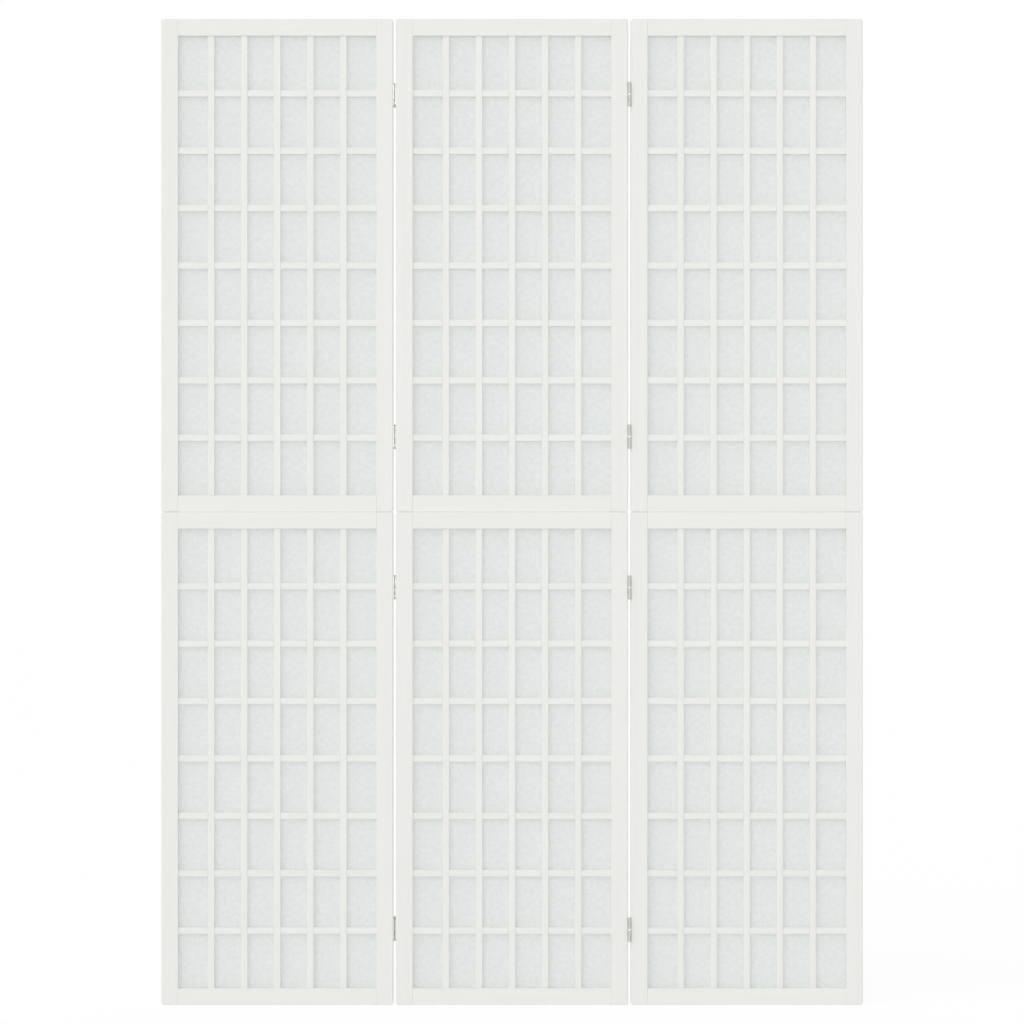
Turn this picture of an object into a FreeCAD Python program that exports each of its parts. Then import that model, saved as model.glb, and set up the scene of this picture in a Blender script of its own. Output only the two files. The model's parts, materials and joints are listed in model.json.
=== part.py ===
import FreeCAD, Part
import math
import os

# Folding screen of three leaves, drawn flat and open, in millimetres.
# X runs to the right, Y to the back and Z up. The origin is on the floor, at the middle of the screen.

# Leaves: each is a lower and an upper section, stacked at a seam
leaf_width = 400.0
section_height = 850.0

# Frame of a section: two stiles that run its full height, two rails between them
stile_width = 29.0
rail_height = 29.0
stile_corner_radius = 4.0
stile_arris_radius = 2.0
rail_arris_radius = 1.0
inner_arris_radius = 0.8
back_rim_depth = 10.0

# Lattice: bars half-lapped flush with each other, set back from the frame's front, ends let into the frame
upright_count = 5
cross_count = 7
bar_width = 11.5
bar_depth = 7.0
bar_recess = 3.0
bar_arris_radius = 0.6
bar_let_in = 5.0

# Paper: one sheet per section, glued on the back of the lattice and on a ledge around it
paper_thickness = 0.4
paper_lap = 5.0
paper_edge_clearance = 1.0
glue_line = 0.05

# Joinery of the frame and of the seam
joint_clearance = 0.1
round_fit_clearance = 0.05
tenon_height = 15.0
tenon_thickness = 7.0
tenon_wall = 4.0
dowel_radius = 3.0
dowel_length = 40.0
dowel_edge = 8.0
dowel_end_clearance = 0.6
dowel_bevel = 0.8

# Connector bolts with sleeve nuts, through the two middle rails, in the ledge behind the paper
connector_place_shares = (-1.5, 1.5)
connector_margin = 0.6
connector_head_height = 2.5
bolt_radius = 2.0
bolt_tip_clearance = 6.0
sleeve_radius = 2.75
sleeve_end_clearance = 16.0
sleeve_floor = 2.0
hex_radius = 1.7
hex_depth = 1.5

# Hinges: two like plates of rolled sheet, a pin riveted over at both ends, a washer in the middle
hinge_height = 40.0
hinge_inset = 130.0
hinge_plate_width = 15.0
hinge_plate_thickness = 1.2
hinge_plate_gap = 2.4
hinge_plate_corner_radius = 2.0
pin_radius = 1.2
pin_clearance = 0.05
pin_head_radius = 2.0
pin_head_height = 0.8
pin_head_round = 0.5
pin_end_clearance = 0.1
knuckle_gap = 0.2
barrel_clearance = 0.3
washer_outer_radius = 2.6
washer_thickness = 3.2

# Screws of the hinges
screw_spacing = 26.0
screw_radius = 1.5
screw_length = 16.0
screw_tip_length = 3.0
recess_width = 0.8
recess_length = 3.0
recess_depth = 0.8

# One overrun for all cuts, and how close two places count as one
overrun = 1.0
match_tolerance = 0.001

# Sizes that follow from the ones above
knuckle_radius = pin_radius + pin_clearance + hinge_plate_thickness
barrel_radius = max(knuckle_radius, washer_outer_radius)
pin_standoff = barrel_radius + barrel_clearance
leaf_gap = 2 * hinge_plate_thickness + hinge_plate_gap
leaf_pitch = leaf_width + leaf_gap
leaf_thickness = bar_recess + bar_depth + back_rim_depth
half_width = leaf_width / 2
half_thickness = leaf_thickness / 2
half_opening = half_width - stile_width
lattice_front = bar_recess - half_thickness
lap_plane = lattice_front + bar_depth / 2
paper_seat = lattice_front + bar_depth
rebate_width = paper_lap + paper_edge_clearance
upright_pitch = 2 * half_opening / (upright_count + 1)
cross_pitch = (section_height - 2 * rail_height) / (cross_count + 1)
upright_places = [upright_pitch * (i + 1) - half_opening for i in range(upright_count)]
cross_places = [rail_height + cross_pitch * (i + 1) for i in range(cross_count)]
tenon_length = stile_width - dowel_edge - dowel_radius - tenon_wall
hinge_heights = (hinge_inset, section_height - hinge_inset)
paper_back = paper_seat + glue_line + paper_thickness
connector_y = (paper_back + half_thickness) / 2
connector_head_radius = (half_thickness - paper_back) / 2 - connector_margin
connector_seat = rail_height - rebate_width
bolt_length = 2 * connector_seat - bolt_tip_clearance
sleeve_length = 2 * connector_seat - sleeve_end_clearance
plate_inside = hinge_plate_gap / 2
plate_faces = (plate_inside, plate_inside + hinge_plate_thickness)
plate_relief = barrel_radius + barrel_clearance
knuckle_height = (hinge_height - washer_thickness) / 4 - knuckle_gap
screw_row = (pin_standoff + hinge_plate_width) / 2
screw_heights = (-screw_spacing / 2, screw_spacing / 2)

leaf_centres = {"left": -leaf_pitch, "centre": 0.0, "right": leaf_pitch}
section_bases = {"lower": 0.0, "upper": section_height}
sides = {"left": -1, "right": 1}

# Which joint each hinged stile of a leaf belongs to
hinged_stiles = {
    "left": {"right": "left"},
    "centre": {"left": "left", "right": "right"},
    "right": {"left": "right"}}

Vector = FreeCAD.Vector
ORIGIN = Vector(0, 0, 0)
X_AXIS = Vector(1, 0, 0)
Y_AXIS = Vector(0, 1, 0)
Z_AXIS = Vector(0, 0, 1)


def block(x_limits, y_limits, z_limits):
    """Returns the box between two values on each axis, given in any order."""
    x0, x1 = sorted(x_limits)
    y0, y1 = sorted(y_limits)
    z0, z1 = sorted(z_limits)
    return Part.makeBox(x1 - x0, y1 - y0, z1 - z0, Vector(x0, y0, z0))


def about(middle, size):
    """Returns the two limits of a size laid out evenly about a middle."""
    return middle - size / 2, middle + size / 2


def same(a, b):
    """Tells whether two places are one."""
    return abs(a - b) < match_tolerance


def round_edges(solid, radius, wanted):
    """Rounds the edges of a solid whose middle point passes a test."""
    return solid.makeFillet(radius, [edge for edge in solid.Edges if wanted(edge.CenterOfMass)])


def save(node, shapes):
    """Writes one node's solids."""
    shape = shapes[0] if len(shapes) == 1 else Part.makeCompound(shapes)
    shape.exportStep(f"parts/{node}.step")


# Frame members, in a section's own place: X from the leaf's middle, Z from the section's foot

def paper_rebate():
    """Returns the space routed into the frame's back around the opening, where the paper lies."""
    reach = half_opening + rebate_width
    z_limits = (rail_height - rebate_width, section_height - rail_height + rebate_width)
    return block((-reach, reach), (paper_seat, half_thickness + overrun), z_limits)


def tenon_middle(top):
    """Returns the height of a rail's tenon, in the part of the rail that the rebate leaves whole."""
    middle = (rail_height - rebate_width) / 2
    return section_height - middle if top else middle


def rail_tenon(top, clearance):
    """Returns the bar of wood whose two ends are a rail's tenons, grown by a clearance for mortises."""
    reach = half_opening + tenon_length + clearance
    y_limits = about(0, tenon_thickness + 2 * clearance)
    return block((-reach, reach), y_limits, about(tenon_middle(top), tenon_height + 2 * clearance))


def upright_housing(x):
    """Returns the housings of one upright bar's two ends, as one long cut."""
    reach = bar_let_in + joint_clearance
    z_limits = (rail_height - reach, section_height - rail_height + reach)
    y_limits = (lattice_front - joint_clearance, paper_seat)
    return block(about(x, bar_width + 2 * joint_clearance), y_limits, z_limits)


def cross_housing(z):
    """Returns the housings of one cross bar's two ends, as one long cut."""
    reach = half_opening + bar_let_in + joint_clearance
    y_limits = (lattice_front - joint_clearance, paper_seat)
    return block((-reach, reach), y_limits, about(z, bar_width + 2 * joint_clearance))


def dowel_hole(side, seam_z):
    """Returns the dowel hole in the seam end of one stile."""
    length = dowel_length + 2 * dowel_end_clearance
    foot = Vector(side * (half_width - dowel_edge), 0, seam_z - length / 2)
    return Part.makeCylinder(dowel_radius + round_fit_clearance, length, foot)


def connector_hole(share, seam_z):
    """Returns one connector's hole through the two rails at the seam."""
    length = 2 * (connector_seat + overrun)
    foot = Vector(share * upright_pitch, connector_y, seam_z - length / 2)
    return Part.makeCylinder(sleeve_radius + round_fit_clearance, length, foot)


def stile(side, seam_z, pilots):
    """Returns one stile: rounded outside, housed for rails and cross bars, bored for dowel and screws."""
    inner = side * half_opening
    outer = side * half_width
    solid = block((inner, outer), (-half_thickness, half_thickness), (0, section_height))
    solid = round_edges(solid, stile_corner_radius, lambda p: same(p.x, outer) and same(p.y, 0))
    solid = round_edges(
        solid, stile_arris_radius,
        lambda p: same(abs(p.y), half_thickness) and not same(p.x, inner))
    solid = round_edges(
        solid, inner_arris_radius,
        lambda p: same(p.y, -half_thickness) and same(p.x, inner))
    cuts = [paper_rebate(), dowel_hole(side, seam_z)]
    cuts += [rail_tenon(top, joint_clearance) for top in (False, True)]
    cuts += [cross_housing(z) for z in cross_places]
    return solid.cut(cuts + pilots)


def rail(top, at_seam, seam_z):
    """Returns one rail with its two tenons, housed for the upright bars."""
    outer = section_height if top else 0
    inner = section_height - rail_height if top else rail_height
    solid = block((-half_opening, half_opening), (-half_thickness, half_thickness), (outer, inner))
    solid = round_edges(
        solid, rail_arris_radius,
        lambda p: same(abs(p.y), half_thickness) and same(p.z, outer))
    solid = round_edges(
        solid, inner_arris_radius,
        lambda p: same(p.y, -half_thickness) and same(p.z, inner))
    cuts = [paper_rebate()] + [upright_housing(x) for x in upright_places]
    if at_seam:
        cuts += [connector_hole(share, seam_z) for share in connector_place_shares]
    return solid.fuse(rail_tenon(top, 0)).cut(cuts)


# Lattice and paper of a section

def upright_bar(x):
    """Returns one upright bar, notched at the back for the cross bars."""
    z_limits = (rail_height - bar_let_in, section_height - rail_height + bar_let_in)
    solid = block(about(x, bar_width), (lattice_front, paper_seat), z_limits)
    solid = round_edges(
        solid, bar_arris_radius,
        lambda p: same(p.y, lattice_front) and same(abs(p.x - x), bar_width / 2))
    notch_x = about(x, bar_width + 2 * overrun)
    notch_y = (lap_plane, paper_seat + overrun)
    notch_height = bar_width + 2 * joint_clearance
    return solid.cut([block(notch_x, notch_y, about(z, notch_height)) for z in cross_places])


def cross_bar(z):
    """Returns one cross bar, notched at the front for the upright bars."""
    reach = half_opening + bar_let_in
    solid = block((-reach, reach), (lattice_front, paper_seat), about(z, bar_width))
    solid = round_edges(
        solid, bar_arris_radius,
        lambda p: same(p.y, lattice_front) and same(abs(p.z - z), bar_width / 2))
    notch_z = about(z, bar_width + 2 * overrun)
    notch_y = (lattice_front - overrun, lap_plane)
    notch_width = bar_width + 2 * joint_clearance
    return solid.cut([block(about(x, notch_width), notch_y, notch_z) for x in upright_places])


def paper_sheet():
    """Returns a section's paper, flat on the back of the lattice and lapped onto the ledge."""
    reach = half_opening + paper_lap
    z_limits = (rail_height - paper_lap, section_height - rail_height + paper_lap)
    return block((-reach, reach), (paper_seat + glue_line, paper_back), z_limits)


# Seam fittings of a leaf: Z from the floor

def seam_dowel(side):
    """Returns the dowel that lines up two stiles at the seam, with bevelled ends."""
    foot = Vector(side * (half_width - dowel_edge), 0, section_height - dowel_length / 2)
    solid = Part.makeCylinder(dowel_radius, dowel_length, foot)
    ends = [edge for edge in solid.Edges if same(abs(edge.CenterOfMass.z - section_height), dowel_length / 2)]
    return solid.makeChamfer(dowel_bevel, ends)


def hex_socket(foot):
    """Returns the six-sided key socket sunk upwards from a point."""
    corners = [
        foot + Vector(hex_radius * math.cos(math.tau * i / 6), hex_radius * math.sin(math.tau * i / 6), 0)
        for i in range(6)]
    return Part.Face(Part.makePolygon(corners + corners[:1])).extrude(Vector(0, 0, hex_depth))


def connector_bolt(share):
    """Returns one connector bolt, its head on the upper rail's ledge."""
    seat = Vector(share * upright_pitch, connector_y, section_height + connector_seat)
    head = Part.makeCylinder(connector_head_radius, connector_head_height, seat)
    shank = Part.makeCylinder(bolt_radius, bolt_length, seat - Vector(0, 0, bolt_length))
    socket = hex_socket(seat + Vector(0, 0, connector_head_height - hex_depth))
    return head.fuse(shank).cut(socket)


def connector_sleeve(share):
    """Returns one sleeve nut, its head under the lower rail's ledge."""
    seat = Vector(share * upright_pitch, connector_y, section_height - connector_seat)
    foot = seat - Vector(0, 0, connector_head_height)
    head = Part.makeCylinder(connector_head_radius, connector_head_height, foot)
    tube = Part.makeCylinder(sleeve_radius, sleeve_length, seat)
    bore_length = sleeve_length - sleeve_floor + overrun
    bore = Part.makeCylinder(
        bolt_radius + round_fit_clearance, bore_length, seat + Vector(0, 0, sleeve_floor))
    return head.fuse(tube).cut([bore, hex_socket(foot)])


# Hinge, about its own pin: the leaf's edge lies along +Y, and the first plate is on the +X side

def screw_hole(z):
    """Returns the countersunk hole of one screw in the first plate."""
    return Part.makeCone(
        screw_radius + hinge_plate_thickness + round_fit_clearance, screw_radius + round_fit_clearance,
        hinge_plate_thickness, Vector(plate_inside, screw_row, z), X_AXIS)


def hinge_plate():
    """Returns the first plate with its two knuckles and its screw holes."""
    solid = block(plate_faces, (plate_relief, hinge_plate_width), about(0, hinge_height))
    solid = round_edges(
        solid, hinge_plate_corner_radius,
        lambda p: same(p.y, hinge_plate_width) and same(abs(p.z), hinge_height / 2))
    upper_foot = hinge_height / 2 - knuckle_height
    lower_foot = -washer_thickness / 2 - knuckle_gap - knuckle_height
    for foot in (upper_foot, lower_foot):
        knuckle = Part.makeCylinder(knuckle_radius, knuckle_height, Vector(0, 0, foot))
        root = block(plate_faces, (0, plate_relief), (foot, foot + knuckle_height))
        solid = solid.fuse([knuckle, root])
    bore_foot = Vector(0, 0, -hinge_height / 2 - overrun)
    bore = Part.makeCylinder(pin_radius + pin_clearance, hinge_height + 2 * overrun, bore_foot)
    return solid.cut([bore] + [screw_hole(z) for z in screw_heights]).removeSplitter()


def hinge_pin():
    """Returns the pin with its two riveted heads."""
    shank_length = hinge_height + 2 * pin_end_clearance
    foot = Vector(0, 0, -shank_length / 2)
    solid = Part.makeCylinder(pin_radius, shank_length, foot)
    for end, way in ((foot, -Z_AXIS), (-foot, Z_AXIS)):
        head = Part.makeCylinder(pin_head_radius, pin_head_height, end, way)
        crown = abs(end.z) + pin_head_height
        head = round_edges(head, pin_head_round, lambda p: same(abs(p.z), crown))
        solid = solid.fuse(head)
    return solid


def hinge_washer():
    """Returns the washer between the two inner knuckles."""
    foot = Vector(0, 0, -washer_thickness / 2)
    ring = Part.makeCylinder(washer_outer_radius, washer_thickness, foot)
    return ring.cut(Part.makeCylinder(pin_radius + pin_clearance, washer_thickness, foot))


def hinge_screw(z):
    """Returns one countersunk screw of the first plate, with a crossed recess in its head."""
    top = Vector(plate_inside, screw_row, z)
    neck = top + X_AXIS * hinge_plate_thickness
    shank_length = screw_length - hinge_plate_thickness - screw_tip_length
    head_radius = screw_radius + hinge_plate_thickness
    head = Part.makeCone(head_radius, screw_radius, hinge_plate_thickness, top, X_AXIS)
    shank = Part.makeCylinder(screw_radius, shank_length, neck, X_AXIS)
    tip = Part.makeCone(screw_radius, 0, screw_tip_length, neck + X_AXIS * shank_length, X_AXIS)
    x_limits = (top.x - overrun, top.x + recess_depth)
    slots = [
        block(x_limits, about(screw_row, recess_length), about(z, recess_width)),
        block(x_limits, about(screw_row, recess_width), about(z, recess_length))]
    return head.fuse([shank, tip]).cut(slots)


def screw_pilot(z):
    """Returns the pilot hole of one screw in the wood behind the first plate."""
    mouth = Vector(plate_inside, screw_row, z)
    return Part.makeCylinder(screw_radius + round_fit_clearance, screw_length, mouth, X_AXIS)


def at_joint(shape, joint, z):
    """Places a hinge piece on a joint: the left joint's pins are at the back, the right joint's in front."""
    turn = shape.rotated(ORIGIN, Z_AXIS, 180) if joint == "left" else shape
    side = sides[joint]
    return turn.translated(Vector(side * leaf_pitch / 2, -side * (half_thickness + pin_standoff), z))


def on_leaf(shape, leaf):
    """Turns a piece of the first plate end for end where the centre leaf carries it as the second plate."""
    return shape.rotated(ORIGIN, Y_AXIS, 180) if leaf == "centre" else shape


def hinge_pieces(leaf, shape):
    """Returns one leaf's copies of a piece of the first plate, at every hinge that it carries."""
    heights = [base + z for base in section_bases.values() for z in hinge_heights]
    joints = hinged_stiles[leaf].values()
    return [at_joint(on_leaf(shape, leaf), joint, z) for joint in joints for z in heights]


def stile_pilots(leaf, side):
    """Returns the pilot holes in one stile of a leaf, in the section's own place."""
    joint = hinged_stiles[leaf].get(side)
    if joint is None:
        return []
    to_section = Vector(-leaf_centres[leaf], 0, 0)
    pilots = [on_leaf(screw_pilot(z), leaf) for z in screw_heights]
    return [at_joint(pilot, joint, z).translated(to_section) for pilot in pilots for z in hinge_heights]


# Build of the whole screen

os.makedirs("parts", exist_ok=True)

for leaf, leaf_x in leaf_centres.items():
    for section, base_z in section_bases.items():
        place = Vector(leaf_x, 0, base_z)
        seam_z = section_height - base_z
        pieces = {}
        for side, sign in sides.items():
            pieces[f"{side}_stile"] = [stile(sign, seam_z, stile_pilots(leaf, side))]
        pieces["bottom_rail"] = [rail(False, section == "upper", seam_z)]
        pieces["top_rail"] = [rail(True, section == "lower", seam_z)]
        pieces["upright_bars"] = [upright_bar(x) for x in upright_places]
        pieces["cross_bars"] = [cross_bar(z) for z in cross_places]
        pieces["paper"] = [paper_sheet()]
        for piece, shapes in pieces.items():
            save(f"{leaf}_{section}_{piece}", [shape.translated(place) for shape in shapes])

    to_leaf = Vector(leaf_x, 0, 0)
    seam_pieces = {
        "seam_dowels": [seam_dowel(sign) for sign in sides.values()],
        "connector_bolts": [connector_bolt(share) for share in connector_place_shares],
        "connector_sleeves": [connector_sleeve(share) for share in connector_place_shares]}
    for piece, shapes in seam_pieces.items():
        save(f"{leaf}_{piece}", [shape.translated(to_leaf) for shape in shapes])

    save(f"{leaf}_hinge_plates", hinge_pieces(leaf, hinge_plate()))
    screws = [hinge_pieces(leaf, hinge_screw(z)) for z in screw_heights]
    save(f"{leaf}_hinge_screws", [screw for row in screws for screw in row])

save("hinge_pins", hinge_pieces("centre", hinge_pin()))
save("hinge_washers", hinge_pieces("centre", hinge_washer()))
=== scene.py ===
"""Dresses a folding screen of three leaves: white painted lattice, stretched fibre paper, steel hinges.

Lengths are in metres and angles in radians. X runs to the right, Y to the back and Z up.
"""
import json
import logging
import math
from collections.abc import Iterator, Mapping, Sequence
from dataclasses import dataclass, field
from enum import Enum

import bpy
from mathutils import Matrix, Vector

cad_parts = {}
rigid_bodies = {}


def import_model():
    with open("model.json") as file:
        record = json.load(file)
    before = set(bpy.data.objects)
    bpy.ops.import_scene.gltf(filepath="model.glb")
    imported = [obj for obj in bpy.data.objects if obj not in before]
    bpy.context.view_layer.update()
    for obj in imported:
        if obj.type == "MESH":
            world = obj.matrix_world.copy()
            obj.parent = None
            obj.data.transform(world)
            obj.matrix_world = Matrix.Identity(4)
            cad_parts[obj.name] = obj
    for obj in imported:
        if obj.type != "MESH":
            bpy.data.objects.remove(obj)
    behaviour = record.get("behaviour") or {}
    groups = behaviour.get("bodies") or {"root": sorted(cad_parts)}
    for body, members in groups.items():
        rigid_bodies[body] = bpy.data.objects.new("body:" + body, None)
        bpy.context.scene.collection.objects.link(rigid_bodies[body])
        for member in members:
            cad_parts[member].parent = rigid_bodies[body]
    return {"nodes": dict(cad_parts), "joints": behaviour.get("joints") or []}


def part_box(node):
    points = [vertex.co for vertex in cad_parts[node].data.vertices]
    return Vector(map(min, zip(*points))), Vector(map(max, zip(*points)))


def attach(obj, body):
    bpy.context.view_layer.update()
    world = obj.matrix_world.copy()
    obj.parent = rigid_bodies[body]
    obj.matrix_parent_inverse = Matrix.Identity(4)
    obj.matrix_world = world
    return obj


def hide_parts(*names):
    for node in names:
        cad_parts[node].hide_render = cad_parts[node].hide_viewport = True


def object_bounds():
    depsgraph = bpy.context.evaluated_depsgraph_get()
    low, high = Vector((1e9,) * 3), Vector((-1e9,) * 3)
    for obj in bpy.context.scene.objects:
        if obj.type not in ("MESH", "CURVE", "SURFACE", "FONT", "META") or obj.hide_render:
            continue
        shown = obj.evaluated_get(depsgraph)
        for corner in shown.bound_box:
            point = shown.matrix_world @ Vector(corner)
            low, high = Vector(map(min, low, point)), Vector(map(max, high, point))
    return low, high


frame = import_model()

CAD_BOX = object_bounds()
BAY_DEPTH = 1.0  # more than a leaf's thickness, so that a bay holds both faces of its boards

log = logging.getLogger("folding_screen")

Socket = bpy.types.NodeSocket
Colour = tuple[float, float, float, float]
Inputs = Mapping[str | int, object]


class Leaf(Enum):
    """The screen's leaves, as seen from the front."""

    LEFT = "left"
    CENTRE = "centre"
    RIGHT = "right"

    @property
    def body(self) -> str:
        """Returns the body that carries the leaf."""
        return f"{self.value}_leaf"


class Section(Enum):
    """The two sections that are stacked in each leaf."""

    LOWER = "lower"
    UPPER = "upper"


class Grain(Enum):
    """The way that the grain of a wooden member runs."""

    UPRIGHT = "upright"
    LEVEL = "level"


def srgb(red: float, green: float, blue: float) -> Colour:
    """Turns a colour as a screen shows it, 0 to 255, into Blender's linear colour.

    Args:
        red: Red level.
        green: Green level.
        blue: Blue level.

    Returns:
        Linear red, green and blue, with a full alpha.
    """
    shares = [level / 255 for level in (red, green, blue)]
    lines = [s / 12.92 if s <= 0.04045 else ((s + 0.055) / 1.055) ** 2.4 for s in shares]
    return lines[0], lines[1], lines[2], 1.0


class Graph:
    """Lays nodes into one node tree and joins them."""

    def __init__(self, tree: bpy.types.NodeTree) -> None:
        """Keeps the tree that the nodes go into."""
        self.tree = tree

    @classmethod
    def emptied(cls, owner: bpy.types.Material | bpy.types.World) -> "Graph":
        """Returns the graph of a material or a world, with the nodes that it came with taken out."""
        owner.use_nodes = True
        owner.node_tree.nodes.clear()
        return cls(owner.node_tree)

    def node(self, kind: str, inputs: Inputs | None = None, **settings: object) -> bpy.types.Node:
        """Adds one node.

        Args:
            kind: The node's type.
            inputs: What goes into its sockets, by name or number: values, outputs of other nodes,
                or a list of outputs where a socket takes several.
            settings: The node's own properties.

        Returns:
            The new node.
        """
        node = self.tree.nodes.new(kind)
        for name, setting in settings.items():
            setattr(node, name, setting)
        for name, value in (inputs or {}).items():
            sources = value if isinstance(value, list) else [value]
            for source in sources:
                if isinstance(source, Socket):
                    self.tree.links.new(source, node.inputs[name])
                else:
                    node.inputs[name].default_value = source
        return node

    def math(self, operation: str, *values: object, clamp: bool = False) -> Socket:
        """Adds a sum on plain values.

        Args:
            operation: The kind of sum.
            values: Its terms.
            clamp: Whether the result stays between 0 and 1.

        Returns:
            The result's socket.
        """
        inputs = dict(enumerate(values))
        return self.node("ShaderNodeMath", inputs, operation=operation, use_clamp=clamp).outputs[0]

    def vector_math(self, operation: str, *values: object) -> Socket:
        """Adds a sum on vectors.

        Args:
            operation: The kind of sum.
            values: Its terms.

        Returns:
            The result's socket.
        """
        return self.node("ShaderNodeVectorMath", dict(enumerate(values)), operation=operation).outputs[0]

    def remap(self, value: Socket, low: object, high: object, to_low: object, to_high: object) -> Socket:
        """Stretches a range of values over another one, and clamps it there.

        Args:
            value: The value to stretch.
            low: Where the old range starts.
            high: Where the old range ends.
            to_low: Where the new range starts.
            to_high: Where the new range ends.

        Returns:
            The result's socket.
        """
        inputs = {"Value": value, "From Min": low, "From Max": high, "To Min": to_low, "To Max": to_high}
        return self.node("ShaderNodeMapRange", inputs).outputs["Result"]

    def weigh(self, share: float, first: Socket, second: Socket) -> Socket:
        """Adds two values by their shares.

        Args:
            share: The first value's share. The second one has the rest.
            first: The first value.
            second: The second value.

        Returns:
            The result's socket.
        """
        rest = self.math("MULTIPLY", second, 1 - share)
        return self.math("ADD", self.math("MULTIPLY", first, share), rest)

    def mix_colour(self, share: Socket, first: object, second: object) -> Socket:
        """Blends two colours.

        Args:
            share: How much of the second colour shows.
            first: The colour at 0.
            second: The colour at 1.

        Returns:
            The blended colour's socket.
        """
        node = self.node("ShaderNodeMix", data_type="RGBA")
        values = {"Factor_Float": share, "A_Color": first, "B_Color": second}
        for socket in node.inputs:
            value = values.get(socket.identifier)
            if isinstance(value, Socket):
                self.tree.links.new(value, socket)
            elif value is not None:
                socket.default_value = value
        return next(socket for socket in node.outputs if socket.identifier == "Result_Color")


# Shader effects that several finishes share

class Effect:
    """A shader node group with named inputs and outputs, built once and placed in many materials."""

    name: str
    inputs: Mapping[str, str]
    outputs: Mapping[str, str]

    def __init__(self) -> None:
        """Builds the group."""
        self.tree = bpy.data.node_groups.new(self.name, "ShaderNodeTree")
        for name, kind in self.inputs.items():
            self.tree.interface.new_socket(name, in_out="INPUT", socket_type=kind)
        for name, kind in self.outputs.items():
            self.tree.interface.new_socket(name, in_out="OUTPUT", socket_type=kind)
        graph = Graph(self.tree)
        source = graph.node("NodeGroupInput").outputs
        graph.node("NodeGroupOutput", self.fill(graph, source))

    def fill(self, graph: Graph, source: bpy.types.NodeOutputs) -> dict[str, Socket]:
        """Lays the effect's nodes.

        Args:
            graph: The group's graph.
            source: The group's inputs.

        Returns:
            The socket of each output.
        """
        raise NotImplementedError

    def place(self, graph: Graph, inputs: Inputs) -> bpy.types.NodeOutputs:
        """Places the effect in a material.

        Args:
            graph: The material's graph.
            inputs: Values or sockets for the effect's inputs.

        Returns:
            The effect's outputs.
        """
        return graph.node("ShaderNodeGroup", inputs, node_tree=self.tree).outputs


class PieceShift(Effect):
    """Moves a pattern by another step in every leaf and section, so that no two pieces share one board."""

    name = "piece_shift"
    inputs = {"Vector": "NodeSocketVector", "Bay": "NodeSocketVector", "Reach": "NodeSocketFloat"}
    outputs = {"Vector": "NodeSocketVector"}

    def fill(self, graph: Graph, source: bpy.types.NodeOutputs) -> dict[str, Socket]:
        """Lays the effect's nodes.

        Args:
            graph: The group's graph.
            source: The group's inputs.

        Returns:
            The moved coordinates.
        """
        half_bay = graph.vector_math("MULTIPLY", source["Bay"], (0.5, 0.5, 0.0))
        from_edge = graph.vector_math("ADD", source["Vector"], half_bay)
        bays = graph.vector_math("FLOOR", graph.vector_math("DIVIDE", from_edge, source["Bay"]))
        noise = graph.node("ShaderNodeTexWhiteNoise", {"Vector": bays}, noise_dimensions="3D")
        reach = graph.node("ShaderNodeCombineXYZ", {axis: source["Reach"] for axis in range(3)})
        shift = graph.vector_math("MULTIPLY", noise.outputs["Color"], reach.outputs[0])
        return {"Vector": graph.vector_math("ADD", source["Vector"], shift)}


class Streaks(Effect):
    """Long thin streaks along one way: wood grain, paper fibres, brush lines."""

    name = "streaks"
    inputs = {
        "Vector": "NodeSocketVector", "Turn": "NodeSocketVector", "Stretch": "NodeSocketVector",
        "Wander": "NodeSocketFloat", "Low": "NodeSocketFloat", "High": "NodeSocketFloat"}
    outputs = {"Streak": "NodeSocketFloat"}

    def fill(self, graph: Graph, source: bpy.types.NodeOutputs) -> dict[str, Socket]:
        """Lays the effect's nodes.

        Args:
            graph: The group's graph.
            source: The group's inputs.

        Returns:
            The streaks, from 0 between them to 1 on them.
        """
        place = {"Vector": source["Vector"], "Rotation": source["Turn"], "Scale": source["Stretch"]}
        turned = graph.node("ShaderNodeMapping", place, vector_type="TEXTURE")
        settings = {
            "Vector": turned.outputs["Vector"], "Scale": 1.0, "Detail": 3.0, "Roughness": 0.6,
            "Distortion": source["Wander"]}
        noise = graph.node("ShaderNodeTexNoise", settings, noise_dimensions="3D")
        return {"Streak": graph.remap(noise.outputs[0], source["Low"], source["High"], 0.0, 1.0)}


class Mottle(Effect):
    """Clouds and fine tooth of one size: uneven film, pulp, plating, moulded skin."""

    name = "mottle"
    inputs = {
        "Vector": "NodeSocketVector", "Scale": "NodeSocketFloat", "Detail": "NodeSocketFloat",
        "Low": "NodeSocketFloat", "High": "NodeSocketFloat"}
    outputs = {"Cloud": "NodeSocketFloat"}

    def fill(self, graph: Graph, source: bpy.types.NodeOutputs) -> dict[str, Socket]:
        """Lays the effect's nodes.

        Args:
            graph: The group's graph.
            source: The group's inputs.

        Returns:
            The clouds, from 0 to 1.
        """
        settings = {"Vector": source["Vector"], "Scale": source["Scale"], "Detail": source["Detail"]}
        noise = graph.node("ShaderNodeTexNoise", settings, noise_dimensions="3D")
        return {"Cloud": graph.remap(noise.outputs[0], source["Low"], source["High"], 0.0, 1.0)}


@dataclass(frozen=True)
class Effects:
    """The shared shader effects."""

    shift: PieceShift = field(default_factory=PieceShift)
    streaks: Streaks = field(default_factory=Streaks)
    mottle: Mottle = field(default_factory=Mottle)


# Finishes

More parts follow.
